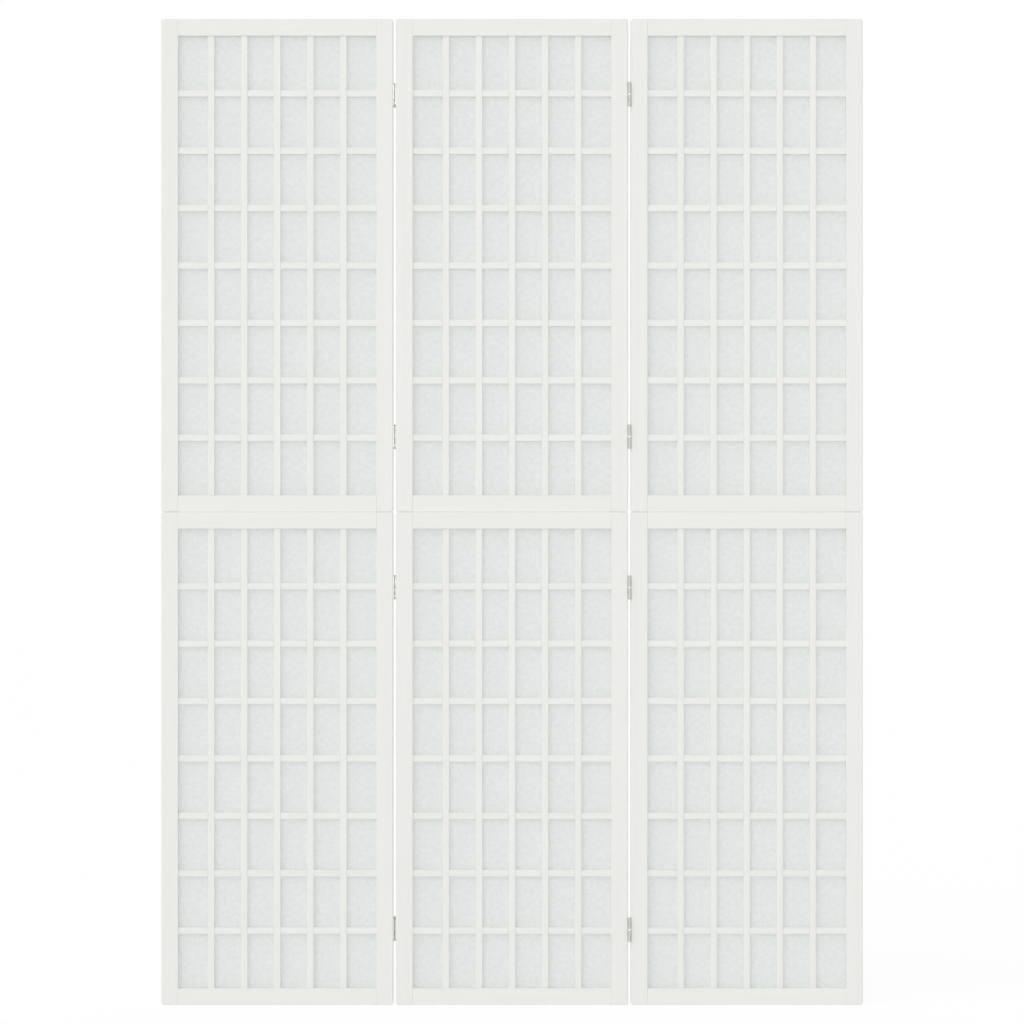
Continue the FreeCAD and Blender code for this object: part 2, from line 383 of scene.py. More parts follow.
class Finish:
    """A surface finish, which makes one material."""

    def start(self, name: str) -> tuple[bpy.types.Material, Graph, Socket]:
        """Makes an empty material.

        Args:
            name: The material's name.

        Returns:
            The material, its graph, and the coordinates that its patterns follow.
        """
        material = bpy.data.materials.new(name)
        graph = Graph.emptied(material)
        return material, graph, graph.node("ShaderNodeTexCoord").outputs["Object"]

    def close(self, graph: Graph, inputs: Inputs) -> None:
        """Ends a material in its shader.

        Args:
            graph: The material's graph.
            inputs: The shader's inputs.
        """
        shader = graph.node("ShaderNodeBsdfPrincipled", inputs)
        graph.node("ShaderNodeOutputMaterial", {"Surface": shader.outputs[0]})

    def relief(self, graph: Graph, height: Socket, depth: float, under: Socket | None = None) -> Socket:
        """Adds fine relief to a surface.

        Args:
            graph: The material's graph.
            height: The relief, from 0 to 1.
            depth: How deep the whole range is, in metres.
            under: The normals of a coarser relief below this one.

        Returns:
            The surface's normals.
        """
        inputs: dict[str, object] = {"Height": height, "Distance": depth, "Strength": 1.0}
        if under is not None:
            inputs["Normal"] = under
        return graph.node("ShaderNodeBump", inputs).outputs["Normal"]


@dataclass(frozen=True)
class PaintedWood(Finish):
    """Satin white paint over open-grained wood: the grain shows through faintly, under a sprayed skin."""

    grain: Grain
    bay: tuple[float, float, float]
    light: Colour = srgb(238, 239, 235)
    shade: Colour = srgb(234, 235, 230)
    shift_reach: float = 9.0
    grain_length: float = 0.11
    grain_width: float = 0.0011
    grain_depth: float = 0.00007
    grain_share: float = 0.45
    figure_scale: float = 14.0
    skin_scale: float = 420.0
    skin_depth: float = 0.000035
    roughness: tuple[float, float] = (0.42, 0.58)

    def material(self, effects: Effects) -> bpy.types.Material:
        """Makes the paint for one way of the grain.

        Args:
            effects: The shared shader effects.

        Returns:
            The material.
        """
        material, graph, place = self.start(f"painted_wood_{self.grain.value}")
        apart = {"Vector": place, "Bay": self.bay, "Reach": self.shift_reach}
        moved = effects.shift.place(graph, apart)["Vector"]
        long, wide = self.grain_length, self.grain_width
        stretch = (wide, wide, long) if self.grain is Grain.UPRIGHT else (long, wide, wide)
        pores = {"Vector": moved, "Stretch": stretch, "Wander": 0.4, "Low": 0.42, "High": 0.66}
        grain = effects.streaks.place(graph, pores)["Streak"]
        board = tuple(self.figure_scale * size for size in stretch)
        bands = {"Vector": moved, "Stretch": board, "Wander": 0.8, "Low": 0.3, "High": 0.7}
        figure = effects.streaks.place(graph, bands)["Streak"]
        sprayed = {"Vector": moved, "Scale": self.skin_scale, "Detail": 2.0, "Low": 0.25, "High": 0.75}
        skin = effects.mottle.place(graph, sprayed)["Cloud"]
        tone = graph.weigh(self.grain_share, grain, figure)
        rough = graph.remap(graph.math("MULTIPLY", skin, tone), 0.0, 1.0, *self.roughness)
        under = self.relief(graph, grain, self.grain_depth)
        self.close(graph, {
            "Base Color": graph.mix_colour(tone, self.light, self.shade), "Roughness": rough,
            "Normal": self.relief(graph, skin, self.skin_depth, under)})
        return material


@dataclass(frozen=True)
class FibrePaper(Finish):
    """White mulberry-type paper: cloudy pulp crossed by long fibres, a little translucent."""

    light: Colour = srgb(229, 234, 232)
    shade: Colour = srgb(220, 225, 223)
    fibre: Colour = srgb(237, 241, 239)
    translucence: float = 0.35
    scatter: float = 0.005
    fibre_length: float = 0.022
    fibre_width: float = 0.0007
    fibre_turns: tuple[float, ...] = (0.35, 1.3, 2.2, 2.9)
    fibre_share: float = 0.45
    fibre_depth: float = 0.00005
    pulp_scale: float = 130.0
    tooth_scale: float = 1500.0
    tooth_depth: float = 0.00002
    roughness: tuple[float, float] = (0.82, 0.95)

    def material(self, effects: Effects) -> bpy.types.Material:
        """Makes the paper.

        Args:
            effects: The shared shader effects.

        Returns:
            The material.
        """
        material, graph, place = self.start("fibre_paper")
        fibres = None
        for turn in self.fibre_turns:
            stretch = (self.fibre_length, self.fibre_width, self.fibre_width)
            strand = effects.streaks.place(graph, {
                "Vector": place, "Turn": (0.0, turn, 0.0), "Stretch": stretch,
                "Wander": 0.5, "Low": 0.6, "High": 0.72})["Streak"]
            fibres = strand if fibres is None else graph.math("MAXIMUM", fibres, strand)
        clouds = {"Vector": place, "Scale": self.pulp_scale, "Detail": 4.0, "Low": 0.3, "High": 0.7}
        pulp = effects.mottle.place(graph, clouds)["Cloud"]
        fine = {"Vector": place, "Scale": self.tooth_scale, "Detail": 1.0, "Low": 0.2, "High": 0.8}
        tooth = effects.mottle.place(graph, fine)["Cloud"]
        sheet = graph.mix_colour(pulp, self.light, self.shade)
        shown = graph.math("MULTIPLY", fibres, self.fibre_share)
        under = self.relief(graph, fibres, self.fibre_depth)
        self.close(graph, {
            "Base Color": graph.mix_colour(shown, sheet, self.fibre),
            "Subsurface Weight": self.translucence, "Subsurface Radius": (1.0, 1.0, 1.0),
            "Subsurface Scale": self.scatter,
            "Roughness": graph.remap(tooth, 0.0, 1.0, *self.roughness),
            "Normal": self.relief(graph, tooth, self.tooth_depth, under)})
        return material


@dataclass(frozen=True)
class PlatedSteel(Finish):
    """Zinc-plated steel: fine rolling lines, a blotchy coat, and a rougher finish with painted shade (a
    darker tone that tones down the highlight) where it stands proud of the leaves.
    """

    name: str
    light: Colour
    shade: Colour
    # painted shade: darker tones for the steel that stands proud of the leaves, where the front light would
    # give it a bright highlight
    painted_shade_light: Colour = srgb(205, 206, 201)
    painted_shade_dark: Colour = srgb(191, 192, 187)
    proud_roughness: float = 0.62
    proud_depth: tuple[float, float] = (0.0108, 0.0125)
    line_length: float = 0.03
    line_width: float = 0.00025
    line_depth: float = 0.00001
    line_share: float = 0.35
    blotch_scale: float = 260.0
    roughness: tuple[float, float] = (0.34, 0.48)

    def material(self, effects: Effects) -> bpy.types.Material:
        """Makes the plated steel.

        Args:
            effects: The shared shader effects.

        Returns:
            The material.
        """
        material, graph, place = self.start(self.name)
        stretch = (self.line_width, self.line_width, self.line_length)
        rolled = {"Vector": place, "Stretch": stretch, "Wander": 0.1, "Low": 0.3, "High": 0.7}
        lines = effects.streaks.place(graph, rolled)["Streak"]
        coat = {"Vector": place, "Scale": self.blotch_scale, "Detail": 3.0, "Low": 0.3, "High": 0.7}
        blotch = effects.mottle.place(graph, coat)["Cloud"]
        tone = graph.weigh(self.line_share, lines, blotch)
        # proud is 1 where the steel stands proud of the leaves; there the colour takes the painted shade
        depth = graph.math("ABSOLUTE", graph.node("ShaderNodeSeparateXYZ", {0: place}).outputs["Y"])
        proud = graph.remap(depth, *self.proud_depth, 0.0, 1.0)
        bright = graph.mix_colour(tone, self.light, self.shade)
        # painted shade: the darker tone that the proud steel gets in place of its highlight
        shaded_tone = graph.mix_colour(tone, self.painted_shade_light, self.painted_shade_dark)
        smooth = graph.remap(tone, 0.0, 1.0, *self.roughness)
        self.close(graph, {
            "Base Color": graph.mix_colour(proud, bright, shaded_tone), "Metallic": 1.0,
            "Roughness": graph.remap(proud, 0.0, 1.0, smooth, self.proud_roughness),
            "Normal": self.relief(graph, lines, self.line_depth)})
        return material


@dataclass(frozen=True)
class MouldedNylon(Finish):
    """White nylon with a fine moulded skin."""

    light: Colour = srgb(250, 250, 246)
    shade: Colour = srgb(244, 243, 238)
    cloud_scale: float = 700.0
    skin_scale: float = 4000.0
    skin_depth: float = 0.00001
    roughness: tuple[float, float] = (0.35, 0.5)

    def material(self, effects: Effects) -> bpy.types.Material:
        """Makes the nylon.

        Args:
            effects: The shared shader effects.

        Returns:
            The material.
        """
        material, graph, place = self.start("moulded_nylon")
        clouds = {"Vector": place, "Scale": self.cloud_scale, "Detail": 2.0, "Low": 0.3, "High": 0.7}
        cloud = effects.mottle.place(graph, clouds)["Cloud"]
        fine = {"Vector": place, "Scale": self.skin_scale, "Detail": 2.0, "Low": 0.3, "High": 0.7}
        skin = effects.mottle.place(graph, fine)["Cloud"]
        self.close(graph, {
            "Base Color": graph.mix_colour(cloud, self.light, self.shade),
            "Roughness": graph.remap(skin, 0.0, 1.0, *self.roughness),
            "Normal": self.relief(graph, skin, self.skin_depth)})
        return material


@dataclass(frozen=True)
class BareBeech(Finish):
    """Unfinished beech with short dark flecks, as turned for dowels."""

    light: Colour = srgb(217, 184, 146)
    shade: Colour = srgb(190, 148, 108)
    grain_length: float = 0.03
    grain_width: float = 0.0006
    grain_depth: float = 0.00005
    grain_share: float = 0.6
    cloud_scale: float = 90.0
    roughness: tuple[float, float] = (0.6, 0.75)

    def material(self, effects: Effects) -> bpy.types.Material:
        """Makes the beech.

        Args:
            effects: The shared shader effects.

        Returns:
            The material.
        """
        material, graph, place = self.start("bare_beech")
        stretch = (self.grain_width, self.grain_width, self.grain_length)
        flecks = {"Vector": place, "Stretch": stretch, "Wander": 0.2, "Low": 0.4, "High": 0.7}
        grain = effects.streaks.place(graph, flecks)["Streak"]
        clouds = {"Vector": place, "Scale": self.cloud_scale, "Detail": 2.0, "Low": 0.3, "High": 0.7}
        cloud = effects.mottle.place(graph, clouds)["Cloud"]
        tone = graph.weigh(self.grain_share, grain, cloud)
        self.close(graph, {
            "Base Color": graph.mix_colour(tone, self.light, self.shade),
            "Roughness": graph.remap(cloud, 0.0, 1.0, *self.roughness),
            "Normal": self.relief(graph, grain, self.grain_depth)})
        return material


# Sub-assemblies

def dress(node: str, material: bpy.types.Material) -> None:
    """Gives a CAD node its finish.

    Args:
        node: The node's name.
        material: The finish.
    """
    slots = frame["nodes"][node].data.materials
    slots.clear()
    slots.append(material)
    log.info("dressed %s in %s", node, material.name)


def section_node(leaf: Leaf, section: Section, piece: str) -> str:
    """Returns the name of a CAD node that belongs to one section."""
    return f"{leaf.value}_{section.value}_{piece}"


def sections() -> Iterator[tuple[Leaf, Section]]:
    """Returns every section of the screen with its leaf."""
    return ((leaf, section) for leaf in Leaf for section in Section)


class NodesMesh:
    """A mesh that a Geometry Nodes tree makes, with named inputs for its sizes."""

    tree_name: str
    inputs: Mapping[str, str]

    def __init__(self) -> None:
        """Builds the tree."""
        self.tree = bpy.data.node_groups.new(self.tree_name, "GeometryNodeTree")
        face = self.tree.interface
        face.new_socket("Geometry", in_out="INPUT", socket_type="NodeSocketGeometry")
        self.sockets = {
            name: face.new_socket(name, in_out="INPUT", socket_type=kind).identifier
            for name, kind in self.inputs.items()}
        face.new_socket("Geometry", in_out="OUTPUT", socket_type="NodeSocketGeometry")
        graph = Graph(self.tree)
        source = graph.node("NodeGroupInput").outputs
        real = graph.node("GeometryNodeRealizeInstances", {0: self.fill(graph, source)})
        finish = {"Geometry": real.outputs[0], "Material": source["Finish"]}
        graph.node("NodeGroupOutput", {0: graph.node("GeometryNodeSetMaterial", finish).outputs[0]})

    def fill(self, graph: Graph, source: bpy.types.NodeOutputs) -> Socket:
        """Lays the tree's nodes.

        Args:
            graph: The tree's graph.
            source: The tree's inputs.

        Returns:
            The finished geometry.
        """
        raise NotImplementedError

    def make(self, name: str, base: bpy.types.Mesh, values: Mapping[str, object]) -> bpy.types.Object:
        """Runs the tree once and keeps the result as a plain mesh.

        Args:
            name: The piece's name.
            base: The mesh that the tree starts from.
            values: The tree's inputs, by name.

        Returns:
            The piece, at the origin.
        """
        piece = bpy.data.objects.new(name, base)
        bpy.context.scene.collection.objects.link(piece)
        modifier = piece.modifiers.new(self.tree_name, "NODES")
        modifier.node_group = self.tree
        for label, value in values.items():
            modifier[self.sockets[label]] = value
        graph = bpy.context.evaluated_depsgraph_get()
        mesh = bpy.data.meshes.new_from_object(piece.evaluated_get(graph), depsgraph=graph)
        piece.modifiers.remove(modifier)
        piece.data = mesh
        mesh.name = name
        return piece


class SheetMesh(NodesMesh):
    """A thin closed sheet, glued to a lattice and a little slack in every cell, towards the back only."""

    tree_name = "stretched_sheet"
    inputs = {
        "Width": "NodeSocketFloat", "Length": "NodeSocketFloat", "Thickness": "NodeSocketFloat",
        "Steps Across": "NodeSocketInt", "Steps Up": "NodeSocketInt",
        "Opening Width": "NodeSocketFloat", "Opening Length": "NodeSocketFloat",
        "Cells Across": "NodeSocketInt", "Cells Up": "NodeSocketInt", "Bar Width": "NodeSocketFloat",
        "Slack": "NodeSocketFloat", "Ripple": "NodeSocketFloat", "Ripple Scale": "NodeSocketFloat",
        "Seed": "NodeSocketInt", "Place": "NodeSocketVector", "Finish": "NodeSocketMaterial"}
    fullness: float = 0.7
    least_slack: float = 0.35
    weld_distance: float = 1e-6

    def cell(
            self, graph: Graph, along: Socket, opening: Socket, cells: Socket,
            bar: Socket) -> tuple[Socket, Socket]:
        """Works out one direction of a cell.

        Args:
            graph: The tree's graph.
            along: Place along the sheet, from its middle.
            opening: The frame's opening that way.
            cells: How many cells fill the opening.
            bar: The width of the bars between cells.

        Returns:
            The cell's number, and how free the sheet is there: 0 on a bar, 1 in mid-cell.
        """
        pitch = graph.math("DIVIDE", opening, cells)
        half = graph.math("MULTIPLY", opening, 0.5)
        inside = graph.math("MINIMUM", graph.math("MAXIMUM", graph.math("ADD", along, half), 0.0), opening)
        count = graph.math("DIVIDE", inside, pitch)
        from_bar = graph.math("MULTIPLY", graph.math("FRACT", count), pitch)
        edge = graph.math("MULTIPLY", bar, 0.5)
        free = graph.remap(from_bar, edge, graph.math("SUBTRACT", pitch, edge), 0.0, math.pi)
        return graph.math("FLOOR", count), graph.math("SINE", free)

    def fill(self, graph: Graph, source: bpy.types.NodeOutputs) -> Socket:
        """Lays the tree's nodes.

        Args:
            graph: The tree's graph.
            source: The tree's inputs.

        Returns:
            The sheet.
        """
        flat = graph.node("GeometryNodeMeshGrid", {
            "Size X": source["Width"], "Size Y": source["Length"],
            "Vertices X": source["Steps Across"], "Vertices Y": source["Steps Up"]})
        upright = graph.node("GeometryNodeTransform", {
            "Geometry": flat.outputs["Mesh"], "Rotation": (math.pi / 2, 0.0, 0.0)})
        place = graph.node("GeometryNodeInputPosition").outputs[0]
        across, _, up = graph.node("ShaderNodeSeparateXYZ", {0: place}).outputs
        column, free_across = self.cell(
            graph, across, source["Opening Width"], source["Cells Across"], source["Bar Width"])
        row, free_up = self.cell(
            graph, up, source["Opening Length"], source["Cells Up"], source["Bar Width"])
        free = graph.math("POWER", graph.math("MULTIPLY", free_across, free_up), self.fullness)
        number = graph.node("ShaderNodeCombineXYZ", {0: column, 1: row, 2: source["Seed"]}).outputs[0]
        chance = graph.node("ShaderNodeTexWhiteNoise", {"Vector": number}, noise_dimensions="3D")
        share = graph.remap(chance.outputs["Value"], 0.0, 1.0, self.least_slack, 1.0)
        slack = graph.math("MULTIPLY", source["Slack"], share)
        waves = graph.node("ShaderNodeTexNoise", {
            "Vector": place, "W": source["Seed"], "Scale": source["Ripple Scale"], "Detail": 1.0},
            noise_dimensions="4D").outputs[0]
        ripple = graph.math("MULTIPLY", source["Ripple"], waves)
        bulge = graph.math("MULTIPLY", free, graph.math("ADD", slack, ripple))
        offset = graph.node("ShaderNodeCombineXYZ", {1: bulge}).outputs[0]
        shift = graph.vector_math("ADD", offset, source["Place"])
        front = graph.node("GeometryNodeSetPosition", {
            "Geometry": upright.outputs[0], "Offset": shift}).outputs[0]
        turned = graph.node("GeometryNodeFlipFaces", {0: front}).outputs[0]
        shell = graph.node("GeometryNodeExtrudeMesh", {
            "Mesh": turned, "Offset": (0.0, 1.0, 0.0), "Offset Scale": source["Thickness"],
            "Individual": False}, mode="FACES")
        both = graph.node("GeometryNodeJoinGeometry", {0: [front, shell.outputs["Mesh"]]}).outputs[0]
        closed = graph.node("GeometryNodeMergeByDistance", {
            "Geometry": both, "Distance": self.weld_distance}).outputs[0]
        return graph.node("GeometryNodeSetShadeSmooth", {0: closed, "Shade Smooth": True}).outputs[0]


@dataclass
class StretchedPaper:
    """The six sheets of paper that close the lattice, one to a section."""

    finish: bpy.types.Material
    upright_count: int = 5
    cross_count: int = 7
    mesh_step: float = 0.0055
    slack: float = 0.0004
    ripple: float = 0.0002
    ripple_scale: float = 45.0
    seed: int = 11

    def build(self) -> None:
        """Makes every sheet in its frame."""
        maker = SheetMesh()
        for number, (leaf, section) in enumerate(sections()):
            self.sheet(maker, leaf, section, number)

    def sheet(self, maker: SheetMesh, leaf: Leaf, section: Section, number: int) -> None:
        """Makes one sheet, where its CAD solid lies.

        Args:
            maker: The tree that makes sheets.
            leaf: The sheet's leaf.
            section: The sheet's section.
            number: The sheet's number, which sets its own slack.
        """
        node = section_node(leaf, section, "paper")
        low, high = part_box(node)
        size = high - low
        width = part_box(section_node(leaf, section, "right_stile"))[0].x
        width -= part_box(section_node(leaf, section, "left_stile"))[1].x
        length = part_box(section_node(leaf, section, "top_rail"))[0].z
        length -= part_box(section_node(leaf, section, "bottom_rail"))[1].z
        bars_low, bars_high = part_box(section_node(leaf, section, "upright_bars"))
        pitch = width / (self.upright_count + 1)
        bar_width = bars_high.x - bars_low.x - pitch * (self.upright_count - 1)
        middle = (low + high) / 2
        piece = maker.make(f"{node}_sheet", bpy.data.meshes.new(node), {
            "Width": size.x, "Length": size.z, "Thickness": size.y,
            "Steps Across": round(size.x / self.mesh_step) + 1,
            "Steps Up": round(size.z / self.mesh_step) + 1,
            "Opening Width": width, "Opening Length": length,
            "Cells Across": self.upright_count + 1, "Cells Up": self.cross_count + 1,
            "Bar Width": bar_width, "Slack": self.slack, "Ripple": self.ripple,
            "Ripple Scale": self.ripple_scale, "Seed": self.seed + number,
            "Place": (middle.x, low.y, middle.z), "Finish": self.finish})
        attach(piece, leaf.body)
        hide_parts(node)
        log.info("stretched %s, %d faces", piece.name, len(piece.data.polygons))


@dataclass
class PaintedLattice:
    """The leaves' frames and their lattice of half-lapped bars."""

    upright_paint: bpy.types.Material
    level_paint: bpy.types.Material
    upright_pieces: tuple[str, ...] = ("left_stile", "right_stile", "upright_bars")
    level_pieces: tuple[str, ...] = ("bottom_rail", "top_rail", "cross_bars")

    def dress(self) -> None:
        """Paints every member along its own grain."""
        for leaf, section in sections():
            for piece in self.upright_pieces:
                dress(section_node(leaf, section, piece), self.upright_paint)
            for piece in self.level_pieces:
                dress(section_node(leaf, section, piece), self.level_paint)


class ScrewMesh(NodesMesh):
    """Countersunk wood screws with a thread and a crossed recess, one on every point of the base mesh."""

    tree_name = "hinge_screws"
    inputs = {
        "Sides": "NodeSocketInt", "Rings": "NodeSocketInt", "Length": "NodeSocketFloat",
        "Head Radius": "NodeSocketFloat", "Crest Radius": "NodeSocketFloat",
        "Core Radius": "NodeSocketFloat", "Pitch": "NodeSocketFloat",
        "Tip Length": "NodeSocketFloat", "Tip Radius": "NodeSocketFloat",
        "Recess Length": "NodeSocketFloat", "Recess Width": "NodeSocketFloat",
        "Recess Depth": "NodeSocketFloat", "Outward": "NodeSocketString", "Finish": "NodeSocketMaterial"}
    crest_share: float = 0.08
    core_share: float = 0.38

    def radius(self, graph: Graph, source: bpy.types.NodeOutputs, depth: Socket, turn: Socket) -> Socket:
        """Works out a screw's radius.

        Args:
            graph: The tree's graph.
            source: The tree's inputs.
            depth: Depth below the top of the head.
            turn: Share of a full turn about the screw.

        Returns:
            The radius.
        """
        phase = graph.math("FRACT", graph.math("ADD", graph.math("DIVIDE", depth, source["Pitch"]), turn))
        from_crest = graph.math("ABSOLUTE", graph.math("SUBTRACT", phase, 0.5))
        thread = graph.remap(
            from_crest, self.crest_share, self.core_share, source["Crest Radius"], source["Core Radius"])
        start = graph.math("SUBTRACT", source["Length"], source["Tip Length"])
        point = graph.remap(depth, start, source["Length"], 1.0, 0.0)
        shank = graph.math("MAXIMUM", graph.math("MULTIPLY", thread, point), source["Tip Radius"])
        cone = graph.math("SUBTRACT", source["Head Radius"], depth)
        return graph.math("MAXIMUM", shank, cone)

    def recess(self, graph: Graph, source: bpy.types.NodeOutputs) -> list[Socket]:
        """Makes the two arms of the crossed recess.

        Args:
            graph: The tree's graph.
            source: The tree's inputs.

        Returns:
            The arms.
        """
        depth = graph.math("MULTIPLY", source["Recess Depth"], 2.0)
        long, narrow = source["Recess Length"], source["Recess Width"]
        arms = []
        for width, breadth in ((long, narrow), (narrow, long)):
            size = graph.node("ShaderNodeCombineXYZ", {0: width, 1: breadth, 2: depth}).outputs[0]
            arms.append(graph.node("GeometryNodeMeshCube", {"Size": size}).outputs["Mesh"])
        return arms

    def fill(self, graph: Graph, source: bpy.types.NodeOutputs) -> Socket:
        """Lays the tree's nodes.

        Args:
            graph: The tree's graph.
            source: The tree's inputs.

        Returns:
            The screws.
        """
        blank = graph.node("GeometryNodeMeshCylinder", {
            "Vertices": source["Sides"], "Side Segments": source["Rings"], "Radius": 1.0,
            "Depth": source["Length"]}, fill_type="NGON").outputs["Mesh"]
        place = graph.node("GeometryNodeInputPosition").outputs[0]
        x, y, z = graph.node("ShaderNodeSeparateXYZ", {0: place}).outputs
        half = graph.math("MULTIPLY", source["Length"], 0.5)
        depth = graph.math("SUBTRACT", half, z)
        turn = graph.math("DIVIDE", graph.math("ARCTAN2", y, x), math.tau)
        radius = self.radius(graph, source, depth, turn)
        formed = graph.node("ShaderNodeCombineXYZ", {
            0: graph.math("MULTIPLY", x, radius), 1: graph.math("MULTIPLY", y, radius),
            2: graph.math("MULTIPLY", depth, -1.0)}).outputs[0]
        turned = graph.node("GeometryNodeSetPosition", {"Geometry": blank, "Position": formed}).outputs[0]
        cut = graph.node("GeometryNodeMeshBoolean", {
            "Mesh 1": turned, "Mesh 2": self.recess(graph, source), "Self Intersection": True},
            operation="DIFFERENCE", solver="EXACT").outputs["Mesh"]
        points = graph.node("GeometryNodeMeshToPoints", {"Mesh": source["Geometry"]}).outputs[0]
        outward = graph.node(
            "GeometryNodeInputNamedAttribute", {"Name": source["Outward"]}, data_type="FLOAT_VECTOR")
        aim = graph.node("FunctionNodeAlignRotationToVector", {"Vector": outward.outputs[0]}, axis="Z")
        return graph.node("GeometryNodeInstanceOnPoints", {
            "Points": points, "Instance": cut, "Rotation": aim.outputs[0]}).outputs[0]


@dataclass
class Hinges:
    """The eight hinges of the two joints, with their pins, washers and screws."""

    steel: bpy.types.Material
    screw_steel: bpy.types.Material
    nylon: bpy.types.Material
    inset: float = 0.130
    plate_width: float = 0.015
    plate_gap: float = 0.0024
    screw_spacing: float = 0.026
    screw_length: float = 0.016
    screw_radius: float = 0.0015
    head_radius: float = 0.00268
    core_radius: float = 0.00105
    thread_pitch: float = 0.0012
    tip_length: float = 0.003
    tip_radius: float = 0.0002
    recess_length: float = 0.003
    recess_width: float = 0.0008
    recess_depth: float = 0.0008
    screw_sides: int = 16
    screw_rings: int = 56
    outward: str = "outward"

    def dress(self) -> None:
        """Gives the plates, pins and washers their finishes."""
        for leaf in Leaf:
            dress(f"{leaf.value}_hinge_plates", self.steel)
        dress("hinge_pins", self.steel)
        dress("hinge_washers", self.nylon)

    def heights(self) -> list[float]:
        """Returns the heights of all screws on one side of a joint."""
        middles = []
        for section in Section:
            low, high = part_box(section_node(Leaf.CENTRE, section, "left_stile"))
            middles += [low.z + self.inset, high.z - self.inset]
        return [middle + step * self.screw_spacing / 2 for middle in middles for step in (-1, 1)]

    def screw_base(self, leaf: Leaf) -> bpy.types.Mesh:
        """Makes the points where a leaf's screws sit, with the way that each head faces.

        Args:
            leaf: The leaf that the screws go into.

        Returns:
            A mesh of points.
        """
        heads: list[Vector] = []
        ways: list[float] = []
        half_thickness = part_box(section_node(leaf, Section.LOWER, "left_stile"))[1].y
        plates_low, plates_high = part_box(f"{leaf.value}_hinge_plates")
        for joint in frame["joints"]:
            if leaf.body not in (joint["parent"], joint["child"]):
                continue
            x, y, _ = joint["pos_m"]
            side = 1.0 if plates_high.x - x > x - plates_low.x else -1.0
            row = (abs(y) - half_thickness + self.plate_width) / 2
            for z in self.heights():
                heads.append(Vector((x + side * self.plate_gap / 2, y - math.copysign(row, y), z)))
                ways.append(-side)
        mesh = bpy.data.meshes.new(f"{leaf.value}_screw_places")
        mesh.from_pydata(heads, [], [])
        facing = mesh.attributes.new(self.outward, "FLOAT_VECTOR", "POINT")
        facing.data.foreach_set("vector", [part for way in ways for part in (way, 0.0, 0.0)])
        return mesh

    def build(self) -> None:
        """Makes each leaf's screws."""
        maker = ScrewMesh()
        for leaf in Leaf:
            node = f"{leaf.value}_hinge_screws"
            piece = maker.make(f"{node}_threaded", self.screw_base(leaf), {
                "Sides": self.screw_sides, "Rings": self.screw_rings, "Length": self.screw_length,
                "Head Radius": self.head_radius, "Crest Radius": self.screw_radius,
                "Core Radius": self.core_radius, "Pitch": self.thread_pitch,
                "Tip Length": self.tip_length, "Tip Radius": self.tip_radius,
                "Recess Length": self.recess_length, "Recess Width": self.recess_width,
                "Recess Depth": self.recess_depth, "Outward": self.outward, "Finish": self.screw_steel})
            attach(piece, leaf.body)
            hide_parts(node)
            log.info("drove %s, %d faces", piece.name, len(piece.data.polygons))


@dataclass
class SeamFittings:
    """What holds the upper section on the lower one: dowels in the stiles, connectors in the rails."""

    steel: bpy.types.Material
    beech: bpy.types.Material

    def dress(self) -> None:
        """Gives the dowels and the connectors their finishes."""
        for leaf in Leaf:
            dress(f"{leaf.value}_seam_dowels", self.beech)
            dress(f"{leaf.value}_connector_bolts", self.steel)
            dress(f"{leaf.value}_connector_sleeves", self.steel)


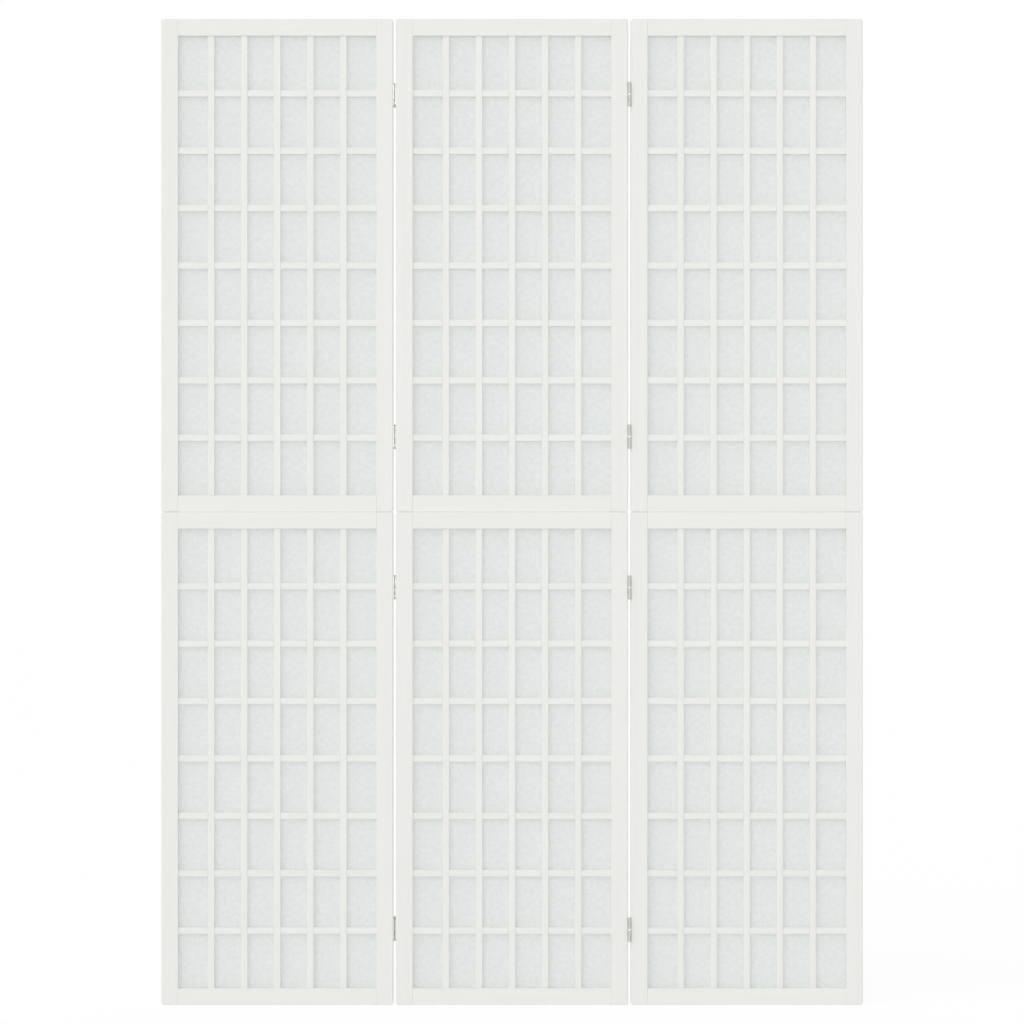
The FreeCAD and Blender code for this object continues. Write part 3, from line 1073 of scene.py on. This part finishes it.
@dataclass
class Studio:
    """A plain pale floor, soft light from the upper left and the front, and the camera."""

    camera_distance: float = 8.0
    field_at_front: float = 1.7654
    sensor: float = 36.0
    floor_size: float = 60.0
    floor_bounce: float = 0.775
    floor_shown: float = 0.16
    floor_glow: float = 0.86
    ambient_front: float = 0.36
    ambient_back: float = 1.0
    key_level: float = 0.85
    key_from: tuple[float, float, float] = (-0.50, -0.62, 0.60)
    key_spread: float = math.radians(60)
    fill_level: float = 0.56
    fill_from: tuple[float, float, float] = (0.03, -1.0, 0.08)
    fill_spread: float = math.radians(14)

    def build(self) -> None:
        """Sets up the floor, the light and the camera."""
        bpy.context.scene.view_settings.view_transform = "Standard"
        self.floor()
        self.world()
        self.lamp("key", self.key_from, self.key_level, self.key_spread)
        self.lamp("fill", self.fill_from, self.fill_level, self.fill_spread)
        self.camera()

    def seen_directly(self, graph: Graph) -> Socket:
        """Returns 1 for what the camera sees, directly, in a gloss or through glass."""
        rays = graph.node("ShaderNodeLightPath").outputs
        mirrored = graph.math("MAXIMUM", rays["Is Glossy Ray"], rays["Is Transmission Ray"])
        return graph.math("MAXIMUM", rays["Is Camera Ray"], mirrored)

    def floor(self) -> None:
        """Lays the floor: white to the eye apart from the shadow, an even grey in what it throws back."""
        half = self.floor_size / 2
        mesh = bpy.data.meshes.new("floor")
        corners = [(-half, -half, 0), (half, -half, 0), (half, half, 0), (-half, half, 0)]
        mesh.from_pydata(corners, [], [(0, 1, 2, 3)])
        floor = bpy.data.objects.new("floor", mesh)
        bpy.context.scene.collection.objects.link(floor)
        material = bpy.data.materials.new("pale_floor")
        graph = Graph.emptied(material)
        bounce = graph.node("ShaderNodeEmission", {"Strength": self.floor_bounce})
        shown = graph.node("ShaderNodeBsdfDiffuse", {"Color": (self.floor_shown,) * 3 + (1.0,)})
        glow = graph.node("ShaderNodeEmission", {"Strength": self.floor_glow})
        lifted = graph.node("ShaderNodeAddShader", {0: shown.outputs[0], 1: glow.outputs[0]})
        both = graph.node("ShaderNodeMixShader", {
            0: self.seen_directly(graph), 1: bounce.outputs[0], 2: lifted.outputs[0]})
        graph.node("ShaderNodeOutputMaterial", {"Surface": both.outputs[0]})
        mesh.materials.append(material)
        log.info("laid the floor")

    def world(self) -> None:
        """Sets a soft light all round, a little brighter from behind, with a white background."""
        world = bpy.data.worlds.new("studio")
        graph = Graph.emptied(world)
        way = graph.node("ShaderNodeTexCoord").outputs["Generated"]
        behind = graph.node("ShaderNodeSeparateXYZ", {0: way}).outputs["Y"]
        soft = graph.remap(behind, -1.0, 1.0, self.ambient_front, self.ambient_back)
        strength = graph.remap(self.seen_directly(graph), 0.0, 1.0, soft, 1.0)
        sky = graph.node("ShaderNodeBackground", {"Color": (1.0, 1.0, 1.0, 1.0), "Strength": strength})
        graph.node("ShaderNodeOutputWorld", {"Surface": sky.outputs[0]})
        bpy.context.scene.world = world

    def lamp(self, name: str, source: Sequence[float], level: float, spread: float) -> None:
        """Hangs one soft far lamp.

        Args:
            name: The lamp's name.
            source: The way towards the lamp.
            level: Its strength.
            spread: How wide it looks from the object, in radians.
        """
        data = bpy.data.lights.new(name, "SUN")
        data.energy = level
        data.angle = spread
        lamp = bpy.data.objects.new(name, data)
        lamp.rotation_euler = Vector(source).to_track_quat("Z", "Y").to_euler()
        bpy.context.scene.collection.objects.link(lamp)

    def camera(self) -> None:
        """Sets the camera square in front of the screen, level with the middle of its height."""
        low, high = CAD_BOX
        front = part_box(section_node(Leaf.CENTRE, Section.LOWER, "left_stile"))[0].y
        data = bpy.data.cameras.new("camera")
        data.sensor_fit = "HORIZONTAL"
        data.sensor_width = self.sensor
        data.lens = self.sensor * self.camera_distance / self.field_at_front
        camera = bpy.data.objects.new("camera", data)
        camera.location = (0.0, front - self.camera_distance, (low[2] + high[2]) / 2)
        camera.rotation_euler = (math.pi / 2, 0.0, 0.0)
        bpy.context.scene.collection.objects.link(camera)
        bpy.context.scene.camera = camera


def main() -> None:
    """Builds and dresses the screen, piece by piece."""
    logging.basicConfig(level=logging.INFO, format="%(message)s")
    effects = Effects()
    low, high = CAD_BOX
    stile_low, stile_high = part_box(section_node(Leaf.CENTRE, Section.LOWER, "left_stile"))
    bay = ((high[0] - low[0]) / len(Leaf), BAY_DEPTH, stile_high.z - stile_low.z)
    paints = {grain: PaintedWood(grain, bay).material(effects) for grain in Grain}
    steel = PlatedSteel("plated_steel", srgb(214, 215, 209), srgb(197, 198, 192)).material(effects)
    screw_steel = PlatedSteel("bright_steel", srgb(205, 204, 198), srgb(172, 171, 164)).material(effects)
    PaintedLattice(paints[Grain.UPRIGHT], paints[Grain.LEVEL]).dress()
    StretchedPaper(FibrePaper().material(effects)).build()
    hinges = Hinges(steel, screw_steel, MouldedNylon().material(effects))
    hinges.dress()
    hinges.build()
    SeamFittings(screw_steel, BareBeech().material(effects)).dress()
    Studio().build()


if __name__ == "__main__":
    main()
